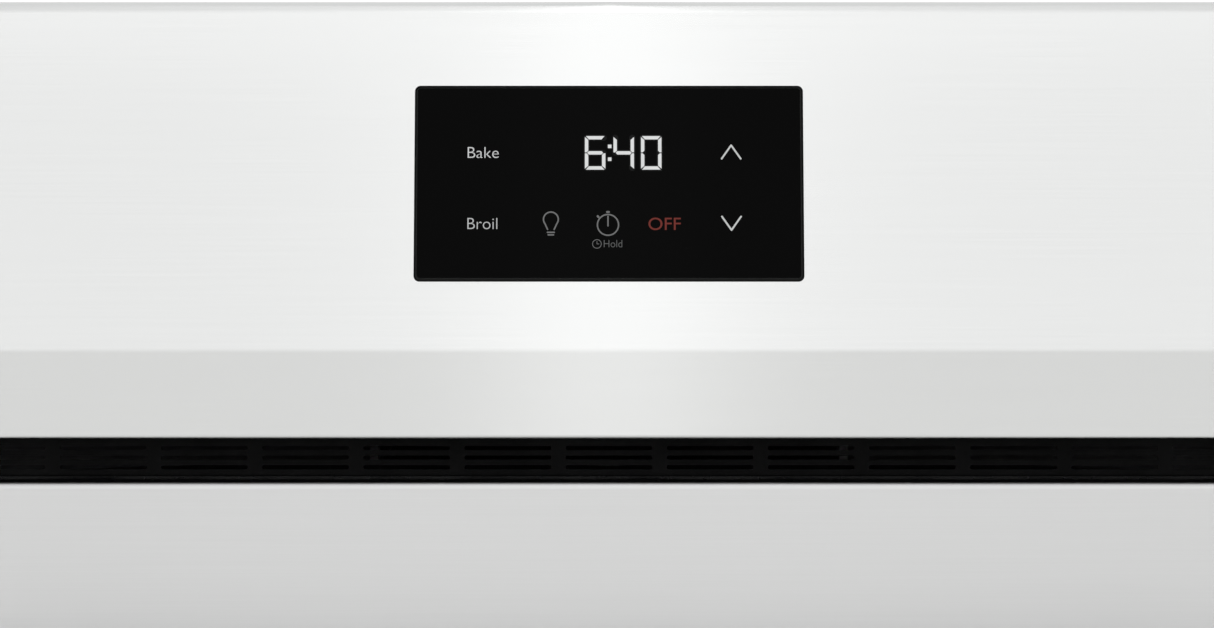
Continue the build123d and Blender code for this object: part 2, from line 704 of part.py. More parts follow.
def make_blower():
    front = frame_y + 150.5
    low = door_top + 0.9
    rise = blower_z - low
    line = Line((front, low), (blower_y, low))
    line += CenterArc((blower_y, blower_z), rise, -90, 180)
    wrap = make_face(offset(line, amount=1.0, side=Side.LEFT))
    housing = extrude(Plane.YZ.offset(-105) * wrap, amount=210)
    lip_z = panel_bottom - 0.3
    tongue = Polyline((front, lip_z), (front + 22, lip_z), (front + 34, lip_z + 14.3))
    lip = make_face(offset(tongue, amount=1.0, side=Side.LEFT))
    housing += extrude(Plane.YZ.offset(-105) * lip, amount=210)
    for x in (-106, 105):
        housing += block((x, x + 1), (front, blower_y + rise), (527.2, blower_z + rise))
    housing -= rod((104, blower_y, blower_z), (108, blower_y, blower_z), 6.2)
    housing += rod((-112, blower_y, blower_z), (-104, blower_y, blower_z), 8)
    housing -= rod((-120, blower_y, blower_z), (-100, blower_y, blower_z), shaft_radius + running_fit)
    save("blower_housing", housing)

    wheel = rod((-wheel_half - 14, blower_y, blower_z), (wheel_half + 45, blower_y, blower_z), shaft_radius)
    for x in (-wheel_half, -1, wheel_half - 2):
        wheel += rod((x, blower_y, blower_z), (x + 2, blower_y, blower_z), wheel_radius)
    blades = 24
    wheel_end = Plane(origin=(-wheel_half, blower_y, blower_z), z_dir=(1, 0, 0))
    blade = Pos(wheel_radius - 4.5, 0) * Rot(0, 0, 35) * Rectangle(7.4, 0.9)
    for i in range(blades):
        wheel += extrude(wheel_end * Rot(0, 0, 360 / blades * i) * blade, amount=2 * wheel_half)
    save("blower_wheel", wheel)

    motor = block((111, 131), (blower_y - 27, blower_y + 27), (blower_z - 24, blower_z + 30))
    motor += block((108, 134), (blower_y - 15, blower_y + 15), (blower_z + 10, blower_z + 28))
    motor += rod((107, blower_y, blower_z), (140, blower_y, blower_z), 14)
    motor += block((106, 112), (blower_y - 24, blower_y - 18), (blower_z - 3, blower_z + 3))
    motor += block((106, 112), (blower_y + 18, blower_y + 24), (blower_z - 3, blower_z + 3))
    motor -= rod((100, blower_y, blower_z), (160, blower_y, blower_z), shaft_radius + running_fit)
    save("blower_motor", motor)


# ---- supply and wiring --------------------------------------------------------------------------
box_x = -198.0
box_z = 635.0
gland_bore = 9.0


def make_supply():
    pan = front_plate((104, 82), 3, (box_x, box_z), rear_sheet_y - 60, 60 - sheet)
    pan -= front_plate((104 - 2 * sheet, 82 - 2 * sheet), 2, (box_x, box_z), rear_sheet_y - 60 + sheet, 70)
    lip = front_plate((124, 102), 4, (box_x, box_z), rear_sheet_y - 2 * sheet, sheet)
    lip -= front_plate((103, 81), 2, (box_x, box_z), rear_sheet_y - 6, 10)
    pan += lip
    pan -= rod((box_x + 30, rear_sheet_y - 70, box_z), (box_x + 30, rear_sheet_y - 50, box_z), 5)
    save("junction_box", pan)
    cover = front_plate((120, 96), 4, (box_x, box_z), rear_sheet_y, sheet)
    cover -= rod((box_x, rear_sheet_y - 1, box_z), (box_x, rear_sheet_y + 3, box_z), 13.2)
    save("junction_cover", cover)

    base = rear_sheet_y + sheet
    gland = rod((box_x, rear_sheet_y - 8, box_z), (box_x, rear_y - 1, box_z), 13)
    for y, thickness in ((base, 7), (rear_sheet_y - 6.2, 4)):
        face = Plane(origin=(box_x, y, box_z), z_dir=(0, 1, 0))
        gland += extrude(face * RegularPolygon(18, 6), amount=thickness)
    gland -= rod((box_x, rear_sheet_y - 20, box_z), (box_x, rear_y + 5, box_z), gland_bore)
    save("conduit_gland", gland)

    front = rear_sheet_y - 60 + sheet
    terminals = block((box_x - 36, box_x + 16), (front, front + 16), (box_z - 12, box_z + 12))
    for i in range(2):
        x = box_x - 20 + 18 * i
        terminals += block((x - 1, x + 1), (front + 15, front + 21), (box_z - 12, box_z + 12))
    for i in range(3):
        x = box_x - 29 + 19 * i
        terminals += rod((x, front + 15, box_z), (x, front + 20, box_z), 4)
    save("terminal_block", terminals)


def make_harness():
    y0 = frame_y + 28
    main = bent_tube(
        [
            (-99, y0, 600),
            (-190, y0, 600),
            (-190, y0 + 120, 570),
            (box_x + 30, rear_sheet_y - 120, 600),
            (box_x + 30, rear_sheet_y - 90, box_z),
            (box_x + 30, rear_sheet_y - 52, box_z),
        ],
        [30, 30, 30, 14],
        4,
    )
    drop = bent_tube(
        [
            (99, y0, 600),
            (180, y0, 600),
            (180, rear_sheet_y - 18, 560),
            (180, rear_sheet_y - 18, 500),
            (80, rear_sheet_y - 18, 470),
            (80, rear_sheet_y - 18, 130),
        ],
        [30, 12, 25, 25],
        4,
    )
    save("wiring_harness", main, drop)


make_control_panel()
make_control_glass()
make_control_electronics()
make_door_skin()
handle_screws = make_handle()
make_door_glass()
liner_screws = make_door_liner()
save("door_screws", *handle_screws, *liner_screws)
make_hinges()
make_gasket()
make_door_switch()
make_front_frame()
chassis_screws = make_chassis()
save("body_screws", *chassis_screws, *make_panel_screws())
make_insulation()
make_cavity()
make_rack_guides()
make_rack("rack_lower", lower_rack_z)
make_rack("rack_upper", upper_rack_z)
make_elements()
make_lamp_and_sensor()
make_duct()
make_blower()
make_supply()
make_harness()
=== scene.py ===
import json
from math import atan2, cos, pi, radians, sin

import bmesh
import bpy
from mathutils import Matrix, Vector, noise


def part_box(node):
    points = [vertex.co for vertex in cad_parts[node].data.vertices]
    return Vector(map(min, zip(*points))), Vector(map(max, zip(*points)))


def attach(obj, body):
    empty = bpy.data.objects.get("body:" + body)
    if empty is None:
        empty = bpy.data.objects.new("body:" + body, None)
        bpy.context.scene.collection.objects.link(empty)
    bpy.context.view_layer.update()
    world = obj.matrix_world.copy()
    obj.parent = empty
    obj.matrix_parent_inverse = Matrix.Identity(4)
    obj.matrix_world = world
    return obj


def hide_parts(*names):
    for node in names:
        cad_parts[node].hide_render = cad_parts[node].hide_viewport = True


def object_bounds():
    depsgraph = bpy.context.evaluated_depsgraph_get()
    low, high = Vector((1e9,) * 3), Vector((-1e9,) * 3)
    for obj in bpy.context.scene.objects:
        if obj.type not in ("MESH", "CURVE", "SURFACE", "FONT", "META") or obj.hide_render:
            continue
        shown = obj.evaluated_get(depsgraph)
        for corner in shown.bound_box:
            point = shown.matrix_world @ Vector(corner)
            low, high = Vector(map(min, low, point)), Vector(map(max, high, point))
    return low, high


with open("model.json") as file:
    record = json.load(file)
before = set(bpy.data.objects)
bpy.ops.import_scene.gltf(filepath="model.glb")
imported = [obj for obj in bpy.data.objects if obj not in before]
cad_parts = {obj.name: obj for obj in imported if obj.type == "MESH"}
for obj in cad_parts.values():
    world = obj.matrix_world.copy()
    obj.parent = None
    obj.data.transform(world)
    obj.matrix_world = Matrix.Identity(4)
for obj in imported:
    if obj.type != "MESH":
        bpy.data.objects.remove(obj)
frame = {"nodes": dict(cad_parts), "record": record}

cad_low, cad_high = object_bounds()
nodes = frame["nodes"]
MM = 0.001
bodies = frame["record"]["behaviour"]["bodies"]
body_of_node = {node: body for body, members in bodies.items() for node in members}


# ---- places taken from the frame ----------------------------------------------------------------
def largest_front_face(node):
    """Middle and normal of the node's largest flat area that faces the front."""
    mesh = nodes[node].data
    groups = {}
    for face in mesh.polygons:
        if face.normal.y < -0.5:
            key = tuple(round(value, 3) for value in face.normal)
            area, middle = groups.get(key, (0.0, Vector()))
            groups[key] = (area + face.area, middle + face.center * face.area)
    key = max(groups, key=lambda name: groups[name][0])
    area, middle = groups[key]
    return middle / area, Vector(key).normalized()


glass_middle, glass_normal = largest_front_face("control_glass")
glass_up = glass_normal.cross(Vector((1, 0, 0)))
door_low, door_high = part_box("door_outer_panel")
panel_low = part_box("control_panel")[0]
band_height = 35.5 * MM
crease_height = panel_low.z + band_height


# ---- material building --------------------------------------------------------------------------
def set_stops(color_ramp, stops):
    """Give a colour ramp these (position, colour) stops."""
    elements = color_ramp.elements
    while len(elements) < len(stops):
        elements.new(0.5)
    for element, (position, color) in zip(elements, stops):
        element.position = position
        element.color = (*color, 1)


class Look:
    """A node material on one Principled shader, with its object-space coordinates ready."""

    def __init__(self, name, color, roughness, metallic=0.0, **sockets):
        self.material = bpy.data.materials.new(name)
        self.material.use_nodes = True
        self.tree = self.material.node_tree
        self.shader = self.tree.nodes["Principled BSDF"]
        self.shader.inputs["Base Color"].default_value = (*color, 1)
        self.shader.inputs["Roughness"].default_value = roughness
        self.shader.inputs["Metallic"].default_value = metallic
        for socket, value in sockets.items():
            self.shader.inputs[socket.replace("_", " ")].default_value = value
        self.coords = self.add("ShaderNodeTexCoord").outputs["Object"]

    def add(self, kind, **settings):
        node = self.tree.nodes.new(kind)
        for key, value in settings.items():
            setattr(node, key, value)
        return node

    def link(self, source, target):
        self.tree.links.new(source, target)

    def stretched(self, scale, rotation=(0, 0, 0)):
        """Object coordinates multiplied by a different number along each axis."""
        mapping = self.add("ShaderNodeMapping")
        mapping.inputs["Scale"].default_value = scale
        mapping.inputs["Rotation"].default_value = rotation
        self.link(self.coords, mapping.inputs["Vector"])
        return mapping.outputs["Vector"]

    def noise(self, scale, detail=3.0, vector=None, rough=0.5):
        texture = self.add("ShaderNodeTexNoise")
        texture.inputs["Scale"].default_value = scale
        texture.inputs["Detail"].default_value = detail
        texture.inputs["Roughness"].default_value = rough
        self.link(vector or self.coords, texture.inputs["Vector"])
        return texture.outputs["Fac"]

    def cells(self, scale):
        texture = self.add("ShaderNodeTexVoronoi")
        texture.inputs["Scale"].default_value = scale
        self.link(self.coords, texture.inputs["Vector"])
        return texture

    def ramp(self, factor, stops):
        """A colour ramp from (position, colour) stops."""
        node = self.add("ShaderNodeValToRGB")
        set_stops(node.color_ramp, stops)
        self.link(factor, node.inputs["Fac"])
        return node.outputs["Color"]

    def ramp_between(self, factor, linked, color):
        """A linked colour that gives way to a plain one as the factor rises."""
        mix = self.add("ShaderNodeMixRGB")
        self.link(factor, mix.inputs["Fac"])
        self.link(linked, mix.inputs["Color1"])
        mix.inputs["Color2"].default_value = (*color, 1)
        return mix.outputs["Color"]

    def spread(self, factor, low, high, source=(0.3, 0.7)):
        """The factor carried from its source range onto low to high."""
        node = self.add("ShaderNodeMapRange")
        node.inputs["From Min"].default_value = source[0]
        node.inputs["From Max"].default_value = source[1]
        node.inputs["To Min"].default_value = low
        node.inputs["To Max"].default_value = high
        self.link(factor, node.inputs["Value"])
        return node.outputs["Result"]

    def color(self, factor, first, second, source=(0.35, 0.65)):
        stops = [(source[0], first), (source[1], second)]
        self.link(self.ramp(factor, stops), self.shader.inputs["Base Color"])

    def roughness(self, factor, low, high, source=(0.3, 0.7)):
        self.link(self.spread(factor, low, high, source), self.shader.inputs["Roughness"])

    def bump(self, factor, strength, distance):
        node = self.add("ShaderNodeBump")
        node.inputs["Strength"].default_value = strength
        node.inputs["Distance"].default_value = distance
        self.link(factor, node.inputs["Height"])
        self.link(node.outputs["Normal"], self.shader.inputs["Normal"])


def shade(color, factor):
    """The colour made darker or lighter, and never brighter than white."""
    return tuple(min(1.0, channel * factor) for channel in color)


def paint_top_shade(look, tone):
    """The tone with painted shade: black on the door's top return, behind the fold of its front edge,
    standing in for the shade in the gap above the door.
    """
    fold_band = (door_high.z - 3.4 * MM, door_high.z - 3.0 * MM)
    front_band = (door_low.y + 2.2 * MM, door_low.y + 2.6 * MM)
    split = look.add("ShaderNodeSeparateXYZ")
    look.link(look.coords, split.inputs["Vector"])
    high = look.spread(split.outputs["Z"], 0.0, 1.0, fold_band)
    behind = look.spread(split.outputs["Y"], 0.0, 1.0, front_band)
    painted_shade_mask = look.add("ShaderNodeMath", operation="MULTIPLY")
    look.link(high, painted_shade_mask.inputs[0])
    look.link(behind, painted_shade_mask.inputs[1])
    # Painted shade: this near-black colour stands in for the shadow on the door's top return.
    return look.ramp_between(painted_shade_mask.outputs["Value"], tone, (0.004, 0.004, 0.004))


def brushed_steel(name, color, roughness, anisotropy, painted_top_shade=False):
    """Stainless sheet with its grain along X, which stretches highlights upright."""
    look = Look(name, color, roughness, 1.0, Anisotropic=anisotropy, Anisotropic_Rotation=0.25)
    tangent = look.add("ShaderNodeTangent", direction_type="RADIAL", axis="Z")
    look.link(tangent.outputs["Tangent"], look.shader.inputs["Tangent"])
    lines = look.noise(1.0, 4.0, look.stretched((9, 2600, 2600)), 0.6)
    tone = look.ramp(lines, [(0.3, shade(color, 0.985)), (0.7, shade(color, 1.015))])
    # Painted shade: the door's top return is coloured black where the gap above it lies in shadow.
    if painted_top_shade:
        tone = paint_top_shade(look, tone)
    look.link(tone, look.shader.inputs["Base Color"])
    clouds = look.noise(3.0, 2.0)
    look.roughness(clouds, roughness * 0.96, roughness * 1.04)
    look.bump(lines, 0.015, 0.0002)
    return look.material


def galvanised_steel():
    """Zinc-coated sheet: pale crystals a few millimetres across, each with its own tone."""
    color = (0.55, 0.56, 0.57)
    look = Look("galvanised_steel", color, 0.42, 0.9)
    crystals = look.cells(210)
    tone = look.add("ShaderNodeSeparateColor")
    look.link(crystals.outputs["Color"], tone.inputs["Color"])
    look.color(tone.outputs["Red"], shade(color, 0.94), shade(color, 1.06), (0.1, 0.9))
    look.roughness(tone.outputs["Green"], 0.38, 0.48, (0.0, 1.0))
    look.bump(look.noise(500, 2.0), 0.05, 0.0002)
    return look.material


def porcelain_enamel(name, color, speck):
    """Fired enamel: glossy, a little wavy, with fine pale specks."""
    look = Look(name, color, 0.16, 0.0, Coat_Weight=0.4, Coat_Roughness=0.08)
    specks = look.cells(420).outputs["Distance"]
    look.link(
        look.ramp(specks, [(0.0, speck), (0.12, speck), (0.2, color), (1.0, color)]),
        look.shader.inputs["Base Color"],
    )
    look.roughness(look.noise(30, 3.0), 0.12, 0.24)
    look.bump(look.noise(90, 2.0), 0.06, 0.0008)
    return look.material


def powder_paint(name, color, roughness, specular=0.5):
    """Baked powder paint with its fine orange-peel surface."""
    look = Look(name, color, roughness, Specular_IOR_Level=specular)
    look.color(look.noise(40, 4.0), shade(color, 0.85), shade(color, 1.2))
    look.roughness(look.noise(150, 2.0), roughness - 0.06, roughness + 0.08)
    look.bump(look.noise(1800, 3.0), 0.25, 0.0001)
    return look.material


def moulded_plastic(name, color, roughness=0.5):
    """Moulded plastic with a fine spark-eroded grain."""
    look = Look(name, color, roughness)
    look.color(look.noise(60, 4.0), shade(color, 0.9), shade(color, 1.1))
    look.roughness(look.noise(220, 3.0), roughness - 0.07, roughness + 0.07)
    look.bump(look.noise(3500, 2.0), 0.2, 0.00008)
    return look.material


def wipe_marks(look):
    """Faint slanting streaks, as a cloth leaves on glass."""
    return look.noise(6.0, 5.0, look.stretched((1, 1, 6), (0, 0.5, 0)))


def clear_glass(name, color, roughness):
    """See-through sheet glass with faint wipe marks in its polish."""
    look = Look(name, color, roughness, 0.0, Transmission_Weight=1.0, IOR=1.5)
    look.roughness(wipe_marks(look), roughness * 0.7, roughness * 1.5)
    return look.material


def control_glass():
    """Black-backed glass whose ground bevel is a little paler than its face."""
    face, ground = (0.0012, 0.0012, 0.0012), (0.0185, 0.0192, 0.0188)
    look = Look("black_glass", face, 0.07, Specular_IOR_Level=0.02, IOR=1.5)
    turned = look.add("ShaderNodeVectorMath", operation="DOT_PRODUCT")
    look.link(look.add("ShaderNodeNewGeometry").outputs["True Normal"], turned.inputs[0])
    turned.inputs[1].default_value = glass_normal
    flat = look.spread(turned.outputs["Value"], 0.0, 1.0, (0.95, 0.99))
    look.link(look.ramp(flat, [(0.3, ground), (0.7, face)]), look.shader.inputs["Base Color"])
    look.roughness(wipe_marks(look), 0.05, 0.1)
    return look.material


def wire_chrome():
    """Plated wire, a little cloudy from use."""
    color = (0.72, 0.72, 0.73)
    look = Look("wire_chrome", color, 0.14, 1.0)
    look.color(look.noise(25, 4.0), shade(color, 0.82), shade(color, 1.06))
    look.roughness(look.noise(180, 3.0), 0.08, 0.26)
    look.bump(look.noise(900, 2.0), 0.05, 0.0001)
    return look.material


def element_oxide():
    """The heating element's sheath: dark green-grey oxide, browner where it runs hottest."""
    look = Look("element_oxide", (0.05, 0.052, 0.05), 0.55, 0.6)
    look.color(look.noise(14, 5.0), (0.035, 0.038, 0.037), (0.09, 0.075, 0.06))
    look.roughness(look.noise(120, 3.0), 0.42, 0.72)
    look.bump(look.noise(1400, 3.0), 0.3, 0.0002)
    return look.material


def glass_wool():
    """Yellow insulation wool, its fibres lying flat."""
    look = Look("glass_wool", (0.78, 0.7, 0.48), 0.95, 0.0, Sheen_Weight=0.35, Sheen_Roughness=0.6)
    fibres = look.noise(1.0, 6.0, look.stretched((160, 160, 900)), 0.65)
    look.color(fibres, (0.62, 0.53, 0.33), (0.88, 0.82, 0.62))
    look.bump(fibres, 0.8, 0.003)
    return look.material


def braided_fibre():
    """The gasket's glass-fibre braid: two sets of crossing strands."""
    look = Look("braided_fibre", (0.13, 0.13, 0.135), 0.85, 0.0, Sheen_Weight=0.3)
    weave = look.add("ShaderNodeMath", operation="MAXIMUM")
    for index, vector in enumerate((look.coords, look.stretched((-1, 1, 1)))):
        strands = look.add("ShaderNodeTexWave", bands_direction="DIAGONAL")
        strands.inputs["Scale"].default_value = 160
        look.link(vector, strands.inputs["Vector"])
        look.link(strands.outputs["Fac"], weave.inputs[index])
    look.color(weave.outputs["Value"], (0.06, 0.06, 0.065), (0.2, 0.2, 0.205), (0.2, 0.9))
    look.bump(weave.outputs["Value"], 0.7, 0.0012)
    return look.material


def circuit_board():
    """Solder resist over copper tracks on a grid."""
    look = Look("circuit_board", (0.02, 0.16, 0.07), 0.3)
    tracks = look.add("ShaderNodeTexBrick")
    tracks.inputs["Scale"].default_value = 120
    tracks.inputs["Mortar Size"].default_value = 0.06
    tracks.inputs["Color1"].default_value = (0.012, 0.13, 0.055, 1)
    tracks.inputs["Color2"].default_value = (0.014, 0.15, 0.06, 1)
    tracks.inputs["Mortar"].default_value = (0.05, 0.27, 0.1, 1)
    look.link(look.stretched((1, 1, 1), (radians(90), 0, 0)), tracks.inputs["Vector"])
    look.link(tracks.outputs["Color"], look.shader.inputs["Base Color"])
    look.roughness(look.noise(80, 2.0), 0.22, 0.4)
    return look.material


def cast_metal(name, color, roughness, metallic=1.0):
    """Cast, pressed or fired surface with a slightly uneven skin."""
    look = Look(name, color, roughness, metallic)
    look.color(look.noise(45, 5.0), shade(color, 0.82), shade(color, 1.15))
    look.roughness(look.noise(200, 3.0), roughness - 0.08, roughness + 0.1)
    look.bump(look.noise(1200, 3.0), 0.12, 0.0002)
    return look.material


def glazed_ceramic():
    """The lamp holder's cream ceramic."""
    look = Look("steatite", (0.82, 0.8, 0.74), 0.35)
    look.color(look.noise(35, 4.0), (0.74, 0.71, 0.64), (0.87, 0.85, 0.8))
    look.roughness(look.noise(150, 3.0), 0.28, 0.5)
    return look.material


def silicone_sleeve():
    """The dark red sleeve round the wiring harness."""
    look = Look("silicone_sleeve", (0.2, 0.035, 0.03), 0.6, 0.0, Sheen_Weight=0.15)
    look.color(look.noise(50, 4.0), (0.15, 0.025, 0.02), (0.26, 0.05, 0.04))
    look.roughness(look.noise(300, 2.0), 0.5, 0.72)
    return look.material


legend_strength = 0.95


def glow(name, color, strength=legend_strength):
    """A lit legend, a little uneven as light behind a diffuser is."""
    look = Look(name, shade(color, 0.03), 0.5, 0.0, Emission_Strength=strength, Specular_IOR_Level=0.04)
    uneven = look.noise(260, 2.0)
    stops = [(0.3, shade(color, 0.94)), (0.7, color)]
    look.link(look.ramp(uneven, stops), look.shader.inputs["Emission Color"])
    return look.material


# ---- materials for the CAD nodes ----------------------------------------------------------------
looks = {
    "panel_steel": brushed_steel("panel_steel", (0.63, 0.635, 0.632), 0.25, 0.9),
    # The door's steel carries painted shade: black on its top return, in place of the gap's shadow.
    "door_steel": brushed_steel("door_steel", (0.58, 0.582, 0.582), 0.42, 0.4, painted_top_shade=True),
    "handle_steel": brushed_steel("handle_steel", (0.62, 0.622, 0.62), 0.27, 0.6),
    "zinc": galvanised_steel(),
    "enamel": porcelain_enamel("cavity_enamel", (0.022, 0.026, 0.038), (0.22, 0.24, 0.28)),
    "frame_enamel": porcelain_enamel("frame_enamel", (0.016, 0.017, 0.02), (0.1, 0.1, 0.11)),
    "black_paint": powder_paint("black_paint", (0.004, 0.004, 0.0045), 0.6),
    "vent_black": powder_paint("vent_black", (0.0076, 0.0076, 0.0078), 0.9, 0.1),
    "duct_paint": powder_paint("duct_paint", (0.1, 0.1, 0.102), 0.8, 0.2),
    "black_glass": control_glass(),
    "window_glass": clear_glass("window_glass", (0.16, 0.165, 0.17), 0.03),
    "inner_glass": clear_glass("inner_glass", (0.8, 0.83, 0.82), 0.03),
    "lamp_glass": clear_glass("lamp_glass", (0.93, 0.95, 0.93), 0.05),
    "chrome": wire_chrome(),
    "element": element_oxide(),
    "wool": glass_wool(),
    "braid": braided_fibre(),
    "board": circuit_board(),
    "border": cast_metal("fired_border", (0.006, 0.006, 0.0065), 0.4, 0.0),
    "black_plastic": moulded_plastic("black_plastic", (0.018, 0.018, 0.02)),
    "grey_plastic": moulded_plastic("grey_plastic", (0.55, 0.56, 0.56), 0.42),
    "iron": cast_metal("motor_iron", (0.2, 0.2, 0.21), 0.45, 0.8),
    "aluminium": cast_metal("blower_aluminium", (0.68, 0.69, 0.7), 0.38),
    "ceramic": glazed_ceramic(),
    "sleeve": silicone_sleeve(),
}
slot_look = {
    "satin_steel": "panel_steel",
    "zinc_steel": "zinc",
    "cavity_enamel": "enamel",
    "black_paint": "black_paint",
    "black_glass": "black_glass",
    "window_glass": "inner_glass",
    "lamp_glass": "lamp_glass",
    "rack_chrome": "chrome",
    "element_sheath": "element",
    "glass_wool": "wool",
    "gasket_braid": "braid",
    "circuit_board": "board",
    "black_plastic": "black_plastic",
    "grey_plastic": "grey_plastic",
    "motor_iron": "iron",
    "blower_aluminium": "aluminium",
    "lamp_ceramic": "ceramic",
    "wire_sleeve": "sleeve",
}
node_look = {
    "door_outer_panel": "door_steel",
    "handle_bar": "handle_steel",
    "handle_posts": "handle_steel",
    "door_glass_outer": "window_glass",
    "front_frame": "frame_enamel",
    "door_liner": "frame_enamel",
    "vent_grille": "vent_black",
    "vent_duct": "duct_paint",
    "blower_housing": "duct_paint",
}


def dress(obj, material):
    """Give an object one material and no other."""
    obj.data.materials.clear()
    obj.data.materials.append(material)


for part in frame["record"]["subparts"]:
    name = part["node"]
    obj = nodes[name]
    material = looks[node_look.get(name, slot_look[part["material_slot"]])]
    for slot in obj.material_slots:
        slot.material = material


# ---- new pieces ---------------------------------------------------------------------------------
def add_piece(name, mesh, material, body, smooth=False):
    """A finished mesh as a named piece that rides on a body."""
    obj = bpy.data.objects.new(name, mesh)
    bpy.context.scene.collection.objects.link(obj)
    dress(obj, material)
    for face in mesh.polygons:
        face.use_smooth = smooth
    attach(obj, body)
    return obj


def bmesh_to_mesh(name, shape):
    """A built shape as a mesh, with its faces turned outward."""
    bmesh.ops.recalc_face_normals(shape, faces=shape.faces)
    mesh = bpy.data.meshes.new(name)
    shape.to_mesh(mesh)
    shape.free()
    return mesh


# ---- soft pieces --------------------------------------------------------------------------------
def corner_centres(half_w, half_h):
    """The middles of a rectangle's rounded corners, in the order of rising angle."""
    return (half_w, half_h), (-half_w, half_h), (-half_w, -half_h), (half_w, -half_h)


def rounded_path(width, height, corner, middle, spacing):
    """Points and outward directions round a rectangle that faces the front, evenly spaced."""
    half_w, half_h = width / 2 - corner, height / 2 - corner
    arc = corner * pi / 2
    runs = []
    for turn, (x, z) in enumerate(corner_centres(half_w, half_h)):
        runs.append(("arc", arc, Vector((x, 0, z)), turn * pi / 2))
        straight = 2 * half_w if turn % 2 == 0 else 2 * half_h
        runs.append(("line", straight, Vector((x, 0, z)), (turn + 1) * pi / 2))
    places = []
    for kind, length, centre, angle in runs:
        steps = max(2, round(length / spacing))
        for i in range(steps):
            part = i / steps
            if kind == "arc":
                turned = angle + part * pi / 2
                outward = Vector((cos(turned), 0, sin(turned)))
                places.append((middle + centre + outward * corner, outward))
            else:
                outward = Vector((cos(angle), 0, sin(angle)))
                along = Vector((-sin(angle), 0, cos(angle)))
                places.append((middle + centre + outward * corner + along * (length * part), outward))
    return places


def braid_dent(angle, travel, strands):
    """How far a braid sinks here, from 0 on a strand to 1 between them."""
    first = abs(sin((strands * angle + travel) / 2))
    second = abs(sin((strands * angle - travel) / 2))
    return 1 - max(first, second)


def join_rings(shape, rings):
    """The faces of a closed tube, between each ring of corners and the next."""
    around = len(rings[0])
    for i in range(len(rings)):
        here, there = rings[i], rings[(i + 1) % len(rings)]
        for j in range(around):
            k = (j + 1) % around
            shape.faces.new((here[j], here[k], there[k], there[j]))


def make_gasket():
    """The door seal: a flattened tube of crossing glass-fibre strands round the cavity's mouth."""
    low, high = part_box("door_gasket")
    rope = 10 * MM
    corner = 22 * MM
    spacing = 1.1 * MM
    around = 36
    strand = 0.45 * MM
    strands = 12
    twist_length = 14 * MM
    places = rounded_path(high.x - low.x - rope, high.z - low.z - rope, corner, (low + high) / 2, spacing)
    half_w = rope / 2 - 0.2 * MM
    half_d = (high.y - low.y) / 2 - 0.1 * MM
    twists = round(len(places) * spacing / twist_length) * strands
    shape = bmesh.new()
    rings = []
    for i, (place, outward) in enumerate(places):
        travel = 2 * pi * twists * i / len(places)
        ring = []
        for j in range(around):
            angle = 2 * pi * j / around
            dent = strand * braid_dent(angle, travel, strands)
            across = (half_w - dent) * cos(angle)
            depth = (half_d - dent) * sin(angle)
            ring.append(shape.verts.new(place + outward * across + Vector((0, depth, 0))))
        rings.append(ring)
    join_rings(shape, rings)
    mesh = bmesh_to_mesh("gasket_rope", shape)
    body = body_of_node["door_gasket"]
    gasket = add_piece("gasket_rope", mesh, looks["braid"], body, True)
    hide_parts("door_gasket")


def make_wool(name, node, voxel):
    """A glass-wool blanket: the node's own solid, its faces pitted and hollowed by the fibres."""
    blanket = add_piece(name, nodes[node].data.copy(), looks["wool"], body_of_node[node], True)
    remesh = blanket.modifiers.new("remesh", "REMESH")
    remesh.mode = "VOXEL"
    remesh.voxel_size = voxel
    depsgraph = bpy.context.evaluated_depsgraph_get()
    mesh = bpy.data.meshes.new_from_object(blanket.evaluated_get(depsgraph))
    blanket.modifiers.clear()
    blanket.data = mesh
    dress(blanket, looks["wool"])
    deepest = 2.0 * MM
    lumps_per_metre = 38
    fibres_per_metre = 210
    normals = [vertex.normal.copy() for vertex in mesh.vertices]
    for vertex, normal in zip(mesh.vertices, normals):
        lumps = noise.noise(vertex.co * lumps_per_metre) * 0.5 + 0.5
        fibres = noise.noise(vertex.co * fibres_per_metre) * 0.5 + 0.5
        vertex.co = vertex.co - normal * deepest * (0.3 + 0.4 * lumps + 0.3 * fibres)
    for face in mesh.polygons:
        face.use_smooth = True
    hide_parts(node)


border_outer = (442 * MM, 262 * MM, 6 * MM)
border_inner = (384 * MM, 204 * MM, 10 * MM)
border_depth = 0.12 * MM
border_gap = 0.05 * MM
dot_pitch = 4.0 * MM
dot_radii = (1.45 * MM, 1.1 * MM, 0.75 * MM)
dot_row_corner = 8 * MM
dot_sides = 10


def rounded_outline(middle, width, height, corner, steps=8):
    """The (x, z) points of a rounded rectangle about a middle."""
    points = []
    for turn, (x, z) in enumerate(corner_centres(width / 2 - corner, height / 2 - corner)):
        for i in range(steps + 1):
            angle = turn * pi / 2 + i / steps * pi / 2
            points.append((middle.x + x + corner * cos(angle), middle.z + z + corner * sin(angle)))
    return points


def add_border_band(shape, middle, back):
    """The solid band between the border's outer and inner outlines."""
    outlines = [rounded_outline(middle, *size) for size in (border_outer, border_inner)]
    layers = []
    for y in (back, back + border_depth):
        layers.append([[shape.verts.new((x, y, z)) for x, z in outline] for outline in outlines])
    (front_out, front_in), (back_out, back_in) = layers
    count = len(front_out)
    for i in range(count):
        j = (i + 1) % count
        shape.faces.new((front_out[i], front_out[j], front_in[j], front_in[i]))
        shape.faces.new((back_out[i], back_in[i], back_in[j], back_out[j]))
        shape.faces.new((front_out[i], back_out[i], back_out[j], front_out[j]))
        shape.faces.new((front_in[i], front_in[j], back_in[j], back_in[i]))


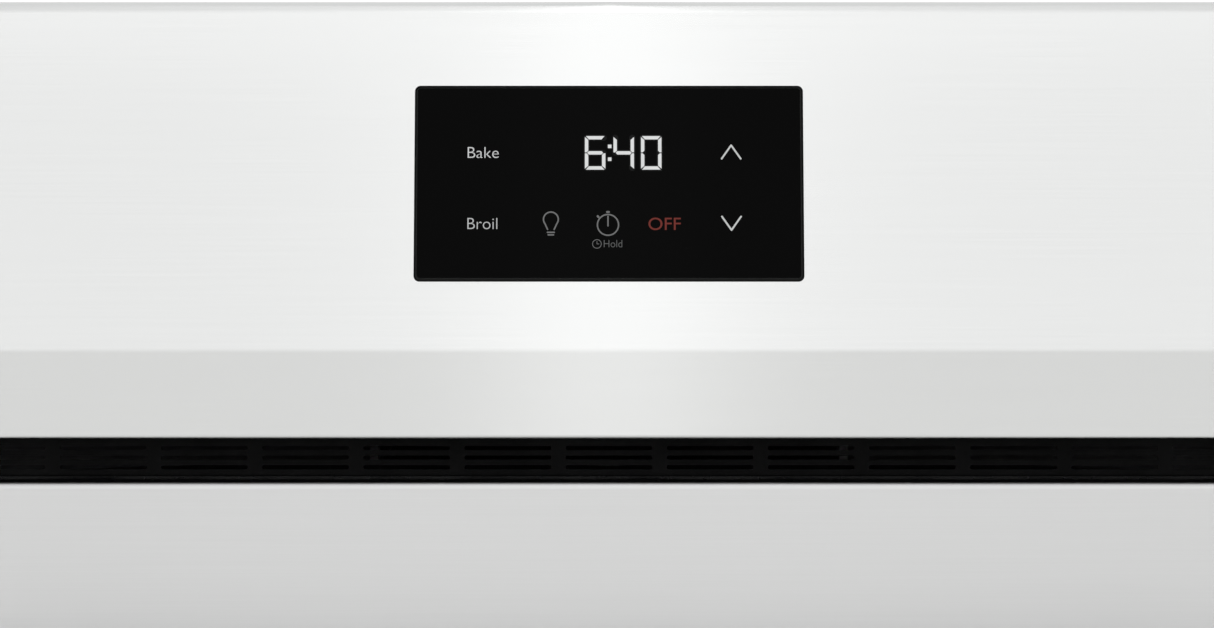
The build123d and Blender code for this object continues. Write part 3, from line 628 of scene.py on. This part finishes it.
def add_border_dot(shape, place, radius, back):
    """One printed dot, as a thin disc."""
    fronts = []
    backs = []
    for i in range(dot_sides):
        angle = 2 * pi * i / dot_sides
        x, z = place.x + radius * cos(angle), place.z + radius * sin(angle)
        fronts.append(shape.verts.new((x, back, z)))
        backs.append(shape.verts.new((x, back + border_depth, z)))
    shape.faces.new(fronts)
    shape.faces.new(list(reversed(backs)))
    for i in range(dot_sides):
        j = (i + 1) % dot_sides
        shape.faces.new((fronts[i], fronts[j], backs[j], backs[i]))


def make_window_border():
    """The black ceramic border fired onto the inside of the door's outer glass, fading into dots."""
    low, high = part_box("door_glass_outer")
    middle = (low + high) / 2
    middle.y = 0
    back = high.y + border_gap
    shape = bmesh.new()
    add_border_band(shape, middle, back)
    for row, radius in enumerate(dot_radii):
        step_in = (row + 0.75) * dot_pitch
        width, height = border_inner[0] - 2 * step_in, border_inner[1] - 2 * step_in
        for place, _ in rounded_path(width, height, dot_row_corner, middle, dot_pitch):
            add_border_dot(shape, place, radius, back)
    mesh = bmesh_to_mesh("window_border", shape)
    add_piece("window_border", mesh, looks["border"], body_of_node["door_glass_outer"])


make_gasket()
make_wool("body_wool", "insulation_blanket", 5 * MM)
make_wool("door_wool", "door_insulation", 4 * MM)
make_window_border()


# ---- display legends ----------------------------------------------------------------------------
# Places and sizes on the glass are in millimetres, to the right and up from its middle. Lifts and
# depths are in metres, like everything else here.
legend_lift = 0.05 * MM
legend_depth = 0.08 * MM
halo_lift = -0.04 * MM
legend_drop = 0.3


def on_glass(x, up, lift):
    """A point on the control glass. The whole layout sits legend_drop below the glass's middle."""
    across = Vector((x * MM, 0, 0))
    return glass_middle + across + glass_up * ((up - legend_drop) * MM) + glass_normal * lift


def raise_outline(shape, points, lift=legend_lift):
    """A thin slab on the glass with this outline, in millimetres."""
    back = [shape.verts.new(on_glass(*point, lift)) for point in points]
    front = [shape.verts.new(on_glass(*point, lift + legend_depth)) for point in points]
    shape.faces.new(list(reversed(back)))
    shape.faces.new(front)
    for i in range(len(points)):
        j = (i + 1) % len(points)
        shape.faces.new((back[i], back[j], front[j], front[i]))


def raise_ring(shape, centre, radius, stroke, first=0.0, turn=2 * pi, steps=40):
    """An arc of a thin ring on the glass, stroke wide, whose outside has this radius."""
    closed = abs(turn - 2 * pi) < 1e-6
    rows = []
    for i in range(steps if closed else steps + 1):
        angle = first + turn * i / steps
        row = []
        for size in (radius, radius - stroke):
            point = (centre[0] + size * cos(angle), centre[1] + size * sin(angle))
            for lift in (legend_lift, legend_lift + legend_depth):
                row.append(shape.verts.new(on_glass(*point, lift)))
        rows.append(row)
    count = len(rows)
    for i in range(count if closed else count - 1):
        here, there = rows[i], rows[(i + 1) % count]
        for a, b in ((0, 1), (1, 3), (3, 2), (2, 0)):
            shape.faces.new((here[a], there[a], there[b], here[b]))
    if not closed:
        for row in (rows[0], rows[-1]):
            shape.faces.new((row[0], row[1], row[3], row[2]))


def raise_stroke(shape, start, end, width, lift=legend_lift):
    """A straight stroke with round ends."""
    steps = 8
    along = Vector((end[0] - start[0], end[1] - start[1]))
    heading = atan2(along.y, along.x)
    outline = []
    for centre, first in ((end, heading - pi / 2), (start, heading + pi / 2)):
        for i in range(steps + 1):
            angle = first + pi * i / steps
            outline.append((centre[0] + width / 2 * cos(angle), centre[1] + width / 2 * sin(angle)))
    raise_outline(shape, outline, lift)


def raise_square(shape, centre, size):
    """A filled square."""
    half = size / 2
    corners = [(-half, -half), (half, -half), (half, half), (-half, half)]
    raise_outline(shape, [(centre[0] + x, centre[1] + y) for x, y in corners])


def add_legend(name, shape, light):
    """A finished legend on the glass."""
    add_piece(name, bmesh_to_mesh(name, shape), light, "oven")


digit_height = 14.0
digit_width = 8.4
segment = 1.4
segment_gap = 0.2
digit_up = 12.75
digit_segments = {"6": "acdefg", "4": "bcfg", "0": "abcdef"}
digit_places = (("6", -5.65), ("4", 6.05), ("0", 17.3))
colon_x = 0.3
colon_ups = (10.1, 15.45)
colon_dot = 1.45
colon_halo = 0.05
halo_width = segment + 1.1
halo_share = 0.012


def segment_outlines():
    """The seven mitred segments of a digit, about its middle, in millimetres."""
    w, h, s, g = digit_width / 2, digit_height / 2, segment, segment_gap
    top = [(-w + 2 * g, h), (w - 2 * g, h), (w - s - g, h - s), (-w + s + g, h - s)]
    left = [(-w, h - 2 * g), (-w, g), (-w + s / 2, g), (-w + s, s / 2 + g), (-w + s, h - s - g)]
    bar = [(-w + s / 2 + g, 0), (-w + s + g, s / 2), (w - s - g, s / 2)]
    bar += [(-x, -y) for x, y in bar]
    return {
        "a": top,
        "d": [(x, -y) for x, y in reversed(top)],
        "f": left,
        "e": [(x, -y) for x, y in reversed(left)],
        "b": [(-x, y) for x, y in reversed(left)],
        "c": [(-x, -y) for x, y in left],
        "g": bar,
    }


def segment_ends():
    """The middle line of each segment."""
    w, h = (digit_width - segment) / 2, (digit_height - segment) / 2
    return {
        "a": ((-w, h), (w, h)),
        "b": ((w, h), (w, 0)),
        "c": ((w, 0), (w, -h)),
        "d": ((-w, -h), (w, -h)),
        "e": ((-w, 0), (-w, -h)),
        "f": ((-w, h), (-w, 0)),
        "g": ((-w, 0), (w, 0)),
    }


def make_clock():
    """The lit digits, and the faint light that spreads round them inside the glass."""
    digits = bmesh.new()
    halo = bmesh.new()
    outlines, ends = segment_outlines(), segment_ends()
    for digit, x in digit_places:
        for name in digit_segments[digit]:
            raise_outline(digits, [(x + across, digit_up + up) for across, up in outlines[name]])
            start, end = [(x + across, digit_up + up) for across, up in ends[name]]
            raise_stroke(halo, start, end, halo_width, halo_lift)
    for up in colon_ups:
        raise_square(digits, (colon_x, up), colon_dot)
        start, end = (colon_x - colon_halo, up), (colon_x + colon_halo, up)
        raise_stroke(halo, start, end, halo_width, halo_lift)
    pale = (0.74, 0.75, 0.75)
    add_legend("display_digits", digits, glow("digit_light", pale))
    add_legend("display_halo", halo, glow("halo_light", shade(pale, halo_share), 1.0))


def make_arrows():
    """The up and down arrows at the right of the glass."""
    shape = bmesh.new()
    stroke = 0.7
    arrow_x = 50.0
    reach = 3.9
    for apex, foot in ((15.9, 10.3), (-19.35, -13.75)):
        for side in (-1, 1):
            raise_stroke(shape, (arrow_x + side * reach, foot), (arrow_x, apex), stroke)
    add_legend("display_arrows", shape, glow("arrow_light", (0.57, 0.585, 0.58)))


icon_stroke = 0.57


def add_lamp_icon(shape):
    """A bulb: a broken ring, two slanting shoulders and two bars of its cap."""
    x, up, radius = -23.7, -14.9, 3.3
    neck_up = -19.1
    raise_ring(shape, (x, up), radius, icon_stroke, radians(-38), radians(256))
    for side in (-1, 1):
        raise_stroke(shape, (x + side * 2.4, up - 1.85), (x + side * 1.35, neck_up), icon_stroke)
    for bar_up, half in ((-20.3, 1.4), (-21.35, 1.1)):
        raise_stroke(shape, (x - half, bar_up), (x + half, bar_up), icon_stroke)


def add_timer_icon(shape):
    """A stopwatch: a ring with its hand, its crown and its side button."""
    x, up, radius = -0.4, -17.2, 4.6
    crown_up = -11.85
    button_stroke = 0.85
    raise_ring(shape, (x, up), radius, icon_stroke)
    raise_stroke(shape, (x, -17.6), (x, -13.6), icon_stroke)
    raise_stroke(shape, (x - 0.35, crown_up), (x + 0.35, crown_up), button_stroke)
    raise_stroke(shape, (-4.6, -13.6), (-4.3, -13.95), button_stroke)


def add_clock_icon(shape):
    """The small clock beside the lowest word."""
    x, up, radius = -4.9, -25.1, 1.9
    rim_stroke = 0.24
    hand_stroke = 0.22
    raise_ring(shape, (x, up), radius, rim_stroke, steps=28)
    raise_stroke(shape, (x, up), (x, up + 1.05), hand_stroke)
    raise_stroke(shape, (x, up), (x + 0.8, up), hand_stroke)


def make_icons():
    """A lamp, a timer and a small clock, drawn in grey strokes."""
    shape = bmesh.new()
    add_lamp_icon(shape)
    add_timer_icon(shape)
    add_clock_icon(shape)
    add_legend("display_icons", shape, glow("icon_light", (0.165, 0.167, 0.167)))


def make_word(text, left, baseline, width, cap_height, weight, color):
    """A generic function word in the built-in typeface, fitted to a width and a capital's height."""
    name = "word_" + text.lower()
    curve = bpy.data.curves.new(name, "FONT")
    curve.body = text
    curve.offset = weight
    curve.resolution_u = 6
    holder = bpy.data.objects.new(name + "_text", curve)
    bpy.context.scene.collection.objects.link(holder)
    bpy.context.view_layer.update()
    mesh = bpy.data.meshes.new_from_object(holder.evaluated_get(bpy.context.evaluated_depsgraph_get()))
    bpy.data.objects.remove(holder)
    low = min(vertex.co.x for vertex in mesh.vertices)
    high = max(vertex.co.x for vertex in mesh.vertices)
    top = max(vertex.co.y for vertex in mesh.vertices)
    for vertex in mesh.vertices:
        x = left + (vertex.co.x - low) * width / (high - low)
        vertex.co = on_glass(x, baseline + vertex.co.y * cap_height / top, legend_lift)
    solid = bmesh.new()
    solid.from_mesh(mesh)
    weld = 0.001 * MM
    bmesh.ops.remove_doubles(solid, verts=solid.verts, dist=weld)
    extruded = bmesh.ops.extrude_face_region(solid, geom=solid.faces[:])
    raised = [item for item in extruded["geom"] if isinstance(item, bmesh.types.BMVert)]
    bmesh.ops.translate(solid, verts=raised, vec=glass_normal * legend_depth)
    add_legend(name, solid, glow(text.lower() + "_light", color))


make_clock()
make_arrows()
make_icons()
# Each word's text, left end, baseline, width, capital height, weight and colour.
make_word("Bake", -57.8, 10.6, 12.7, 4.55, -0.012, (0.61, 0.62, 0.62))
make_word("Broil", -57.75, -19.0, 12.2, 4.65, -0.013, (0.5, 0.51, 0.51))
make_word("Hold", -2.1, -26.5, 7.5, 3.0, -0.012, (0.12, 0.123, 0.122))
make_word("OFF", 16.1, -19.3, 13.2, 5.1, 0.0, (0.165, 0.034, 0.027))


# ---- camera, floor and light --------------------------------------------------------------------
view_distance = 1.5
view_width = 0.493
view_height = 0.6101
view_offset = -0.0008
sensor_width = 36
camera_data = bpy.data.cameras.new("camera")
camera_data.sensor_width = sensor_width
camera_data.lens = sensor_width * view_distance / view_width
camera = bpy.data.objects.new("camera", camera_data)
camera.location = (view_offset, door_low.y - view_distance, view_height)
camera.rotation_euler = (radians(90), 0, 0)
bpy.context.scene.collection.objects.link(camera)
bpy.context.scene.camera = camera
bpy.context.scene.view_settings.view_transform = "Standard"


def make_floor():
    """A wide, plain, pale floor just under the oven."""
    reach = 40.0
    clearance = 0.5 * MM
    look = Look("pale_floor", (0.8, 0.8, 0.79), 0.6)
    look.color(look.noise(2.0, 3.0), (0.79, 0.79, 0.78), (0.81, 0.81, 0.8))
    mesh = bpy.data.meshes.new("floor")
    corners = [(-reach, -reach, 0), (reach, -reach, 0), (reach, reach, 0), (-reach, reach, 0)]
    mesh.from_pydata([Vector(corner) for corner in corners], [], [(0, 1, 2, 3)])
    mesh.materials.append(look.material)
    floor = bpy.data.objects.new("floor", mesh)
    floor.location = (0, 0, cad_low.z - clearance)
    bpy.context.scene.collection.objects.link(floor)


def make_world():
    """An even, pale studio, brightest a little above eye level and duller overhead."""
    world = bpy.data.worlds.new("studio")
    bpy.context.scene.world = world
    world.use_nodes = True
    strength = 1.455
    levels = [(0.0, 0.74), (0.5, 0.74), (0.6, 1.0), (0.67, 1.0), (0.84, 0.72), (1.0, 0.72)]
    tree = world.node_tree
    coords = tree.nodes.new("ShaderNodeTexCoord")
    split = tree.nodes.new("ShaderNodeSeparateXYZ")
    ramp = tree.nodes.new("ShaderNodeValToRGB")
    scale = tree.nodes.new("ShaderNodeMapRange")
    scale.inputs["From Min"].default_value = -1
    tree.links.new(coords.outputs["Generated"], split.inputs["Vector"])
    tree.links.new(split.outputs["Z"], scale.inputs["Value"])
    tree.links.new(scale.outputs["Result"], ramp.inputs["Fac"])
    set_stops(ramp.color_ramp, [(position, (level, level, level)) for position, level in levels])
    background = tree.nodes["Background"]
    tree.links.new(ramp.outputs["Color"], background.inputs["Color"])
    background.inputs["Strength"].default_value = strength


def soft_light(name, place, target, size, radiance, in_highlights=True):
    """A rectangular soft light of this radiance, unseen by the camera."""
    data = bpy.data.lights.new(name, "AREA")
    data.shape = "RECTANGLE"
    data.size, data.size_y = size
    data.energy = radiance * pi * size[0] * size[1]
    light = bpy.data.objects.new(name, data)
    light.location = place
    light.rotation_euler = (Vector(target) - Vector(place)).to_track_quat("-Z", "Y").to_euler()
    light.visible_camera = False
    light.visible_glossy = in_highlights
    bpy.context.scene.collection.objects.link(light)


make_floor()
make_world()
# Each light's place, aim, size and radiance. The strips make the front's upright highlight.
soft_light("overhead", (0, -1.2, 3.2), (0, 0, 0.4), (2.6, 2.2), 0.9, False)
soft_light("centre_strip", (0, -3.6, 1.5), (0, door_low.y, 0.65), (0.24, 3.6), 0.3)
soft_light("low_strip", (0, -3.4, 0.2), (0, door_low.y, crease_height), (0.24, 0.4), 0.7)
soft_light("ceiling_strip", (0, -1.8, 3.3), (0, door_low.y, 0.7), (0.24, 3.0), 1.3)
